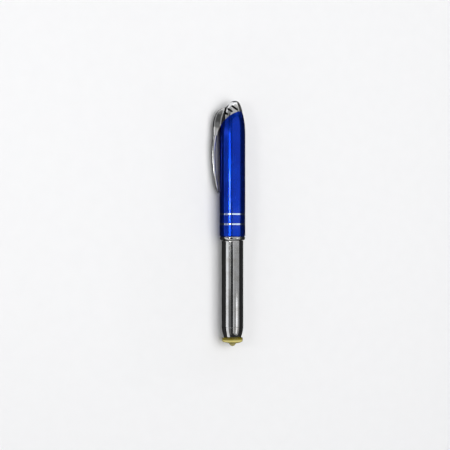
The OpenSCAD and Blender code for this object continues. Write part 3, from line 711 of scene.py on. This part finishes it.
class PEN_OT_writing_end(bpy.types.Operator):
    """Grip, o-ring, nose, refill tip and writing ball, turned about the pen's axis"""

    bl_idname = "pen.writing_end"
    bl_label = "Writing end"

    def execute(self, context):
        size, torch = context.scene.pen_writing, context.scene.pen_torch
        low, high = span("grip_section")
        shoulder = span("barrel_tube")[1]
        ring_low, ring_high = span("cap_o_ring")
        grip, refill = size.grip_radius, size.refill_radius + SLIP
        groove = grip - size.ring_wire + SLIP
        stem = torch.barrel_radius - torch.barrel_wall - size.bush_wall
        turned_piece("grip", softened([
            [refill, low], [stem, low], [stem, shoulder], [grip, shoulder], [grip, ring_low - FIT],
            [groove, ring_low - FIT], [groove, ring_high + FIT], [grip, ring_high + FIT],
            [grip, shoulder + size.grip_straight], [size.grip_end, high], [refill, high]],
            np.array([0, 0, 0, 0.1, 0.1, 0.05, 0.05, 0.1, 1.2, 0.1, 0]) * MM), "moulded_abs", "grip_section")

        turn, wire = turns(RING_ROUND), size.ring_wire / 2
        turned_piece("cap_o_ring", stacked(
            girth("cap_o_ring") * MM - wire + wire * np.cos(turn),
            (ring_low + ring_high) / 2 + wire * np.sin(turn)), "nitrile_rubber")

        nose_high = span("nose_cone")[1]
        swell = swollen(size.grip_end, size.nose_mouth, size.nose_bulge, high, nose_high)
        turned_piece("nose_cone", broken(
            [[refill, high], swell, [refill, nose_high]],
            {1: 0.08 * MM, len(swell): 0.08 * MM}), "buffed_chrome_plate")

        tip_low, tip_high = span("refill_tip")
        ball_middle = sum(span("writing_ball")) / 2
        seat, bore = size.ball_radius + FIT, size.ink_bore
        way = np.linspace(
            math.asin((tip_high - ball_middle) / seat), -math.acos(bore / seat), SEAT_ROWS)
        socket = stacked(seat * np.cos(way), ball_middle + seat * np.sin(way))
        stem, step = size.refill_radius - size.refill_wall, tip_low + size.tip_stem
        turned_piece("refill_tip", broken(
            [[bore, tip_low], [stem, tip_low], [stem, step], [size.refill_radius, step],
             [size.refill_radius, nose_high + size.tip_straight],
             [size.ball_radius + size.tip_wall, tip_high], socket],
            {4: 0.25 * MM, 5: 0.03 * MM}), "turned_brass")

        way = np.linspace(0, math.pi, CURVE)
        turned_piece("writing_ball", stacked(
            size.ball_radius * np.sin(way), ball_middle - size.ball_radius * np.cos(way)),
            "drawn_steel", closed=False)
        return {"FINISHED"}


class PEN_OT_cap(bpy.types.Operator):
    """Mouth ring, lacquered tube with its top cut along the curved seam, and the two split trim rings"""

    bl_idname = "pen.cap"
    bl_label = "Cap tube and rings"

    def execute(self, context):
        cap = context.scene.pen_cap
        mouth_low, mouth_high = span("mouth_ring")
        tube_low = span("cap_tube")[0]
        inner, floor = cap.radius - cap.wall, cap.radius - cap.ring_depth
        spigot = inner - FIT
        bore = spigot - cap.mouth_wall
        bead = BEAD_SHARE * (tube_low - mouth_low)
        turn = math.asin((tube_low - mouth_low) / 2 / bead) * np.linspace(-1, 1, CURVE)
        bulge = stacked(cap.radius - cap.mouth_sink - bead + bead * np.cos(turn),
                        (tube_low + mouth_low) / 2 + bead * np.sin(turn))
        turned_piece("mouth_ring", broken(
            [[bore, mouth_low], bulge, [spigot, tube_low], [spigot, mouth_high], [bore, mouth_high]],
            {0: 0.06 * MM, 1: 0.08 * MM, len(bulge): 0.08 * MM}), "buffed_chrome_plate")

        # The grooved lower part is a softened profile. Its last two corners only close it and are dropped.
        rings = {node: span(node) for node in ("lower_trim_ring", "upper_trim_ring")}
        base = PEAK - cap.dome - PLAIN_TOP
        corners = [[inner, tube_low], [cap.radius, tube_low]]
        for low, high in rings.values():
            corners += [[cap.radius, low], [floor, low], [floor, high], [cap.radius, high]]
        corners += [[cap.radius, base], [inner, base]]
        edges = np.array([0.03, 0.08, *[0.05, 0, 0, 0.05] * len(rings), 0, 0]) * MM
        angle = directions(TUBE_ROUND)
        share = np.linspace(0, 1, TUBE_ROWS)[1:, None]
        outer_top = wall_top(cap, angle, PEAK, 0.0, cap.seam_gap)
        inner_top = wall_top(cap, angle, PEAK, cap.wall, cap.seam_gap)
        grid = np.concatenate([
            turned(softened(corners, edges)[:-2 * CORNER], angle),
            tube_wall(cap, angle, base + (outer_top - base) * share),
            tube_wall(cap, angle, base + (inner_top - base) * share[::-1], cap.wall),
            tube_wall(cap, angle, np.array([[tube_low]]), cap.wall)])
        stands_for(skinned("cap_tube", grid, True), "cap_tube", "stoving_lacquer")

        half = math.asin(cap.ring_split / 2 / cap.radius)
        around = np.linspace(half, 2 * math.pi - half, ROUND)
        outside = cap.radius - FIT
        for node, (low, high) in rings.items():
            profile = softened([[floor, low], [outside, low], [outside, high], [floor, high]],
                               np.array([0, 0.12, 0.12, 0]) * MM)
            ring = mesh_object(node, *lofted(turned(profile, around).swapaxes(0, 1)))
            stands_for(ring, node, "burnished_silver_plate")
        return {"FINISHED"}


class PEN_OT_crown(bpy.types.Operator):
    """Crown: a lofted hood over the tube, cut along the seam, with its slots and the clip's socket"""

    bl_idname = "pen.crown"
    bl_label = "Crown"

    def execute(self, context):
        cap, clip = context.scene.pen_cap, context.scene.pen_clip
        angle = directions(CROWN_ROUND)
        foot, roof = PEAK - cap.dome, PEAK - cap.roof

        def beyond(rise):
            """How far each direction's point of the dome lies outside the seam."""
            point = dome_point(cap, angle, rise)
            return beyond_seam(cap, point[..., 0], point[..., 2])

        # Under the shoulder the hood ends level with the straight tube, and its edge runs in to the seam.
        start = halved(beyond, 0, math.pi / 2)
        share = np.linspace(1, 0, HOOD_ROWS)[:, None]
        outer = dome_point(cap, angle, start + (math.pi / 2 - start) * share)
        edge = outer[-1, :, :2]
        plane = cap.seam_offset - math.sqrt(cap.seam_radius ** 2 - (foot - PEAK + cap.seam_drop) ** 2)
        over = edge[:, 0] < plane
        edge = np.where(over[:, None], edge * (plane / np.where(over, edge[:, 0], 1))[:, None], edge)

        inner_top = wall_top(cap, angle, roof, cap.wall)
        rise = inner_top + (roof - inner_top) * np.linspace(0, 1, CURVE)[:, None]
        inner = tube_wall(cap, angle, rise, cap.wall)
        t = np.linspace(0, 1, RIM_ROWS)[:, None, None]
        flat = edge * (1 - t) + inner[0, :, :2] * t
        rim = np.concatenate([flat, seam_height(cap, flat[..., :1])], axis=-1)
        grid = np.concatenate([outer, rim, inner, stacked(0 * angle, 0, roof)[None]])
        crown = skinned("crown", grid, False)
        stands_for(crown, "crown", "buffed_chrome_plate")

        root_x, root_z = clip_root()
        hole, slack = clip.root + SLIP, clip.neck / 2 + clip.root_room
        open_turn = math.acos(slack / hole)
        way = np.linspace(-open_turn, math.pi + open_turn, SLOT_ROUND)
        below, across = foot - SOCKET_DROP, clip.root_width / 2 + SLIP
        socket = np.vstack([
            [root_x + slack, below], stacked(root_x + hole * np.cos(way), root_z + hole * np.sin(way)),
            [root_x - slack, below]])
        cheeks = (cap.slot_floor, CUT_REACH), (-CUT_REACH, -cap.slot_floor)
        slots = [prism(slot_outline(cap, index), *cheek) for index in range(cap.slots) for cheek in cheeks]
        cutter = mesh_object("socket_cutter", *lofted(prism(socket, -across, across)))
        cut(crown, cutter, "buffed_chrome_plate")
        # The slots' walls get the black plastic finish, which makes the slots dark.
        cut(crown, mesh_object("slot_cutter", *lofted(*slots)), "moulded_abs")
        return {"FINISHED"}


class PEN_OT_clip(bpy.types.Operator):
    """Clip: rounded oblong sections along a cubic curve, bent in to a ball at its tip, with a rolled root"""

    bl_idname = "pen.clip"
    bl_label = "Clip"

    def execute(self, context):
        cap, clip = context.scene.pen_cap, context.scene.pen_clip
        start = PEAK - cap.dome - clip.start
        tip = cap.radius + clip.air + clip.tip_thick
        t = np.sin(np.linspace(0, math.pi / 2, CLIP_ROWS))[:, None]
        weights = (1 - t) ** 3, 3 * (1 - t) ** 2 * t, 3 * (1 - t) * t ** 2, t ** 3
        line_x = -sum(w * x for w, x in zip(weights, (
            cap.reach, cap.reach + clip.bow, cap.reach + clip.bow / 4, tip)))
        line_z = start - clip.drop * sum(w * z for w, z in zip(weights, CLIP_RUN))
        drawn = np.sqrt(1 - TIP_DRAW * np.maximum(0, 1 - (1 - t) / TIP_SHARE) ** 2)
        thick = clip.thick + (clip.tip_thick - clip.thick) * t
        deep = thick / 2 * drawn
        wide = (clip.width + (clip.tip_width - clip.width) * t) / 2 * drawn
        c, s = np.cos(turns(CLIP_ROUND)), np.sin(turns(CLIP_ROUND))
        rings = stacked(line_x + thick - deep + deep * np.sign(c) * np.abs(c) ** (2 / CLIP_POWER),
                        wide * np.sign(s) * np.abs(s) ** (2 / CLIP_POWER), line_z)

        way = np.linspace(POLE, math.pi - POLE, CURVE)[:, None]
        ball = stacked(-cap.radius - clip.air - clip.ball + clip.ball * np.sin(way) * c,
                       clip.ball * np.sin(way) * s, start - clip.drop + clip.ball - clip.ball * np.cos(way))

        root_x, root_z = clip_root()
        root = stacked(root_x + clip.root * c, root_z + clip.root * s)
        left, right, below = root_x - clip.neck / 2, root_x + clip.neck / 2, start - clip.neck_sink
        neck = [[left, below], [right, below], [right, root_z], [left, root_z]]
        across = clip.root_width / 2
        piece = mesh_object("clip", *lofted(
            rings, ball, prism(root, -across, across), prism(neck, -across, across)))
        stands_for(piece, "clip", "buffed_chrome_plate")
        return {"FINISHED"}


class PEN_OT_inside(bpy.types.Operator):
    """Finishes of the pieces inside the pen, which keep their own solids"""

    bl_idname = "pen.inside"
    bl_label = "Inside finishes"

    def execute(self, context):
        finishes = {
            "moulded_abs": ("lamp_holder", "partition", "crown_plug"),
            "natural_polythene": ("battery_sleeve", "refill_tube", "cap_liner"),
            "turned_brass": ("contact_stud", "coupling_bush"),
            "drawn_steel": ("front_cell", "middle_cell", "rear_cell", "battery_spring", "crown_screw"),
        }
        for name, nodes in finishes.items():
            for node in nodes:
                for slot in frame["nodes"][node].material_slots:
                    slot.material = finish(name)
        return {"FINISHED"}


# Pale colour and level of the surroundings and their level overhead, half the floor's side, where the floor
# goes over into the pale, and the camera's sensor in millimetres.
PALE, PALE_LEVEL, OVERHEAD_LEVEL = (0.97, 0.98, 1, 1), 0.85, 0.03
FLOOR_HALF, FAR_START, FAR_END, SENSOR = 3.0, 0.2, 0.7, 36

# Smoked cards: a near and a far line as millimetres right of the axis and up, where they start and end along
# the pen in millimetres, and the share of its light that a reflection keeps.
LYING, DARK = -0.03, 0.03
CARDS = {
    "barrel_floor": ((-3.5, LYING), (-50, LYING), -70, -8, DARK),
    "cap_floor": ((-3.5, LYING), (-30, LYING), -8, 46, DARK),
    "crown_left": ((-3.5, LYING), (-40, LYING), 46, 60, DARK),
    "cap_flag": ((-40, 0), (-40, 36), -8, 41, 0.38),
    "crown_flag": ((-40, 0), (-40, 40), 47, 120, 0.36),
    "right_floor": ((0.3, LYING), (6, LYING), -70, 49, DARK),
    "right_flag": ((6, LYING), (14, 15.5), -70, 49, DARK),
    "crown_floor": ((0.3, LYING), (33, LYING), 49, 85, DARK),
    "crown_side": ((33, LYING), (40, 26), 47, 100, 0.1),
}

# Soft boxes: degrees right of the camera, the point that they face along the pen, width and length, distance,
# all in metres, radiance, degrees that they lean to the crown, and whether the pen mirrors them.
BOXES = {
    "key": (35, 0.0, (0.9, 0.9), 1.0, 3.0, 0, False),
    "barrel_left": (-33.5, -0.23, (0.296, 0.34), 0.5, 0.1),
    "mouth_left": (-33.5, -0.0368, (0.296, 0.0466), 0.5, 0.25),
    "barrel_right": (41.2, -0.207, (0.669, 0.387), 0.5, 0.3),
    "barrel_strip": (12.2, -0.157, (0.075, 0.287), 0.45, 0.25),
    "barrel_edge": (47.5, -0.179, (0.135, 0.242), 0.45, 0.85),
    "cap_left": (-31, 0.069, (0.344, 0.162), 0.5, 0.42),
    "shoulder_box": (-31, 0.23, (0.344, 0.16), 0.5, 0.17),
    "cap_right": (35.5, 0.144, (0.824, 0.312), 0.5, 0.53),
    "cap_strip": (-25, 0.0225, (0.079, 0.039), 0.45, 23.0),
    "ring_left": (-31, 0.0045, (0.337, 0.018), 0.49, 0.9),
    "ring_right": (35.5, 0.0045, (0.808, 0.018), 0.49, 0.8),
    "crown_box": (15, 0.047, (0.84, 0.47), 0.5, 0.55, 60),
    "crown_right": (90, 0.047, (0.18, 0.26), 0.5, 0.5, 42),
}


def across_pen(degrees):
    """Direction from the pen's axis, some degrees right of the camera's, in the plane across the pen."""
    turn = math.radians(degrees)
    toward, right = Vector((-math.sin(ROLL), 0, math.cos(ROLL))), Vector((math.cos(ROLL), 0, math.sin(ROLL)))
    return toward * math.cos(turn) + right * math.sin(turn)


def facing(place, side, up, back):
    """Transform of a lamp or camera at a place, with its own three directions given."""
    return Matrix.Translation(place) @ Matrix((side, up, back)).transposed().to_4x4()


def softbox(name, degrees, along, size, distance, radiance, lean=0, mirrored=True):
    """Rectangular lamp facing a point of the pen's axis, some degrees right of the camera and leaning to the
    crown. Its power is its radiance times its area times pi."""
    data = bpy.data.lights.new(name, "AREA")
    data.shape, data.size, data.size_y = "RECTANGLE", size[0], size[1]
    data.energy = radiance * math.pi * size[0] * size[1]
    lamp = placed(name, data)
    tilt, axis = math.radians(lean), Vector((0, 1, 0))
    back = across_pen(degrees) * math.cos(tilt) + axis * math.sin(tilt)
    side = axis.cross(back).normalized()
    place = Vector((BARREL[0], along, BARREL[2])) + back * distance
    lamp.matrix_world = facing(place, side, back.cross(side), back)
    lamp.visible_glossy = mirrored
    lamp.visible_camera = False


def sheet(name, corners, material):
    """A flat sheet of the studio between its corners, in metres."""
    mesh = bpy.data.meshes.new(name)
    mesh.from_pydata(corners.tolist(), [], [list(range(len(corners)))])
    mesh.materials.append(material)
    flat = placed(name, mesh)
    return flat


def smoked_card(name, near, far, start, end, share):
    """Smoked film along the pen from start to end, between two lines given as distance right of the axis
    and height, in millimetres. Only reflections meet it and keep a share of their light: it gives bright
    metal and lacquer a dark edge, as a flag does beside a product."""
    (x, z), ends = MM * np.array([near, near, far, far]).T, MM * np.array([start, end, end, start])
    film = bpy.data.materials.new(name)
    film.use_nodes = True
    clear = add(film.node_tree, "BsdfTransparent", {"Color": (share, share, share, 1)})
    film.node_tree.links.new(clear.outputs[0], film.node_tree.nodes["Material Output"].inputs["Surface"])
    card = sheet(name, stacked(BARREL[0] + x, ends, z), film)
    card.visible_camera = card.visible_diffuse = card.visible_shadow = card.visible_transmission = False


def floor_paper(name, colours):
    """Pale matt paper: the eye sees a faint drift of fibre. Away from the pen, what the camera and
    reflections see of it goes over into the pale surroundings, so that no dark horizon shows."""
    material, tree, place = blank(name, Roughness=0.7)
    shader = tree.nodes["Principled BSDF"]
    fibre = add(tree, "TexNoise", {"Vector": place, "Scale": per_metre(6), "Detail": 3.0})
    wired(material, fibre, shade(colours.floor), shade(colours.floor, 0.97))
    away = add(tree, "VectorMath", {0: place}, operation="LENGTH").outputs[1]
    far = add(tree, "MapRange", {
        "Value": away, "From Min": FAR_START, "From Max": FAR_END, "To Min": 0.0, "To Max": 1.0})
    ray = add(tree, "LightPath").outputs
    seen = add(tree, "Math", {0: ray["Is Camera Ray"], 1: ray["Is Glossy Ray"]})
    seen = add(tree, "Math", {0: seen, 1: ray["Is Transmission Ray"]}, use_clamp=True)
    share = add(tree, "Math", {0: far, 1: seen}, operation="MULTIPLY")
    pale = add(tree, "Emission", {"Color": PALE, "Strength": PALE_LEVEL})
    both = add(tree, "MixShader", {0: share, 1: shader, 2: pale})
    tree.links.new(both.outputs[0], tree.nodes["Material Output"].inputs["Surface"])
    return material


class PEN_OT_stage(bpy.types.Operator):
    """Pale floor, soft studio lamps, smoked cards and the camera at the photograph's angle"""

    bl_idname = "pen.stage"
    bl_label = "Studio"

    def execute(self, context):
        scene, stage = context.scene, context.scene.pen_stage
        scene.view_settings.view_transform = "Standard"
        square = FLOOR_HALF * np.array([[-1, -1], [1, -1], [1, 1], [-1, 1]])
        sheet("floor", stacked(*square.T, -SLIP), floor_paper("floor_paper", scene.pen_colours))

        scene.world = bpy.data.worlds.new("studio")
        scene.world.use_nodes = True
        tree = scene.world.node_tree
        way = add(tree, "SeparateXYZ", {"Vector": add(tree, "TexCoord").outputs["Generated"]})
        level = add(tree, "MapRange", {
            "Value": way.outputs[2], "From Min": 0.2, "From Max": 0.42, "To Min": PALE_LEVEL,
            "To Max": OVERHEAD_LEVEL}, interpolation_type="SMOOTHSTEP")
        tree.links.new(level.outputs[0], tree.nodes["Background"].inputs[1])
        tree.nodes["Background"].inputs[0].default_value = PALE

        for name, card in CARDS.items():
            smoked_card(name, *card)
        for name, box in BOXES.items():
            softbox(name, *box)

        data = bpy.data.cameras.new("camera")
        data.lens, data.sensor_width = stage.lens, SENSOR
        scene.camera = placed("camera", data)
        back, up = across_pen(0), Vector((0, 1, 0))
        right = up.cross(back)
        distance = stage.view_width * stage.lens / SENSOR
        middle = Vector((BARREL[0], (CAD_BOX[0][1] + CAD_BOX[1][1]) / 2, BARREL[2]))
        place = middle + back * distance - right * stage.axis_right - up * stage.pen_up
        scene.camera.matrix_world = facing(place, right, up, back)
        return {"FINISHED"}


class PEN_PT_panel(bpy.types.Panel):
    """Lists the pen's pieces and their sizes and colours"""

    bl_idname = "PEN_PT_panel"
    bl_label = "Pen"
    bl_space_type = "VIEW_3D"
    bl_region_type = "UI"
    bl_category = "Pen"

    def draw(self, context):
        for operator in OPERATORS:
            self.layout.operator(operator.bl_idname)
        for name, group in GROUPS.items():
            box = self.layout.box()
            for key in group.__annotations__:
                box.prop(getattr(context.scene, name), key)


OPERATORS = (
    PEN_OT_torch, PEN_OT_writing_end, PEN_OT_cap, PEN_OT_crown, PEN_OT_clip, PEN_OT_inside, PEN_OT_stage)
GROUPS = {"pen_torch": PenTorchSizes, "pen_writing": PenWritingSizes, "pen_cap": PenCapSizes,
          "pen_clip": PenClipSizes, "pen_colours": PenColours, "pen_stage": PenStageSettings}


def register():
    """Registers the groups, operators and panel, and hangs the groups on the scene."""
    for made in (*GROUPS.values(), *OPERATORS, PEN_PT_panel):
        bpy.utils.register_class(made)
    for name, group in GROUPS.items():
        setattr(bpy.types.Scene, name, PointerProperty(type=group))


def unregister():
    """Takes back what register made, in the opposite order."""
    for name in GROUPS:
        delattr(bpy.types.Scene, name)
    for made in reversed((*GROUPS.values(), *OPERATORS, PEN_PT_panel)):
        bpy.utils.unregister_class(made)


def main():
    register()
    bpy.ops.pen.torch()
    bpy.ops.pen.writing_end()
    bpy.ops.pen.cap()
    bpy.ops.pen.crown()
    bpy.ops.pen.clip()
    bpy.ops.pen.inside()
    bpy.ops.pen.stage()
    bpy.context.view_layer.update()


if __name__ == "__main__":
    main()
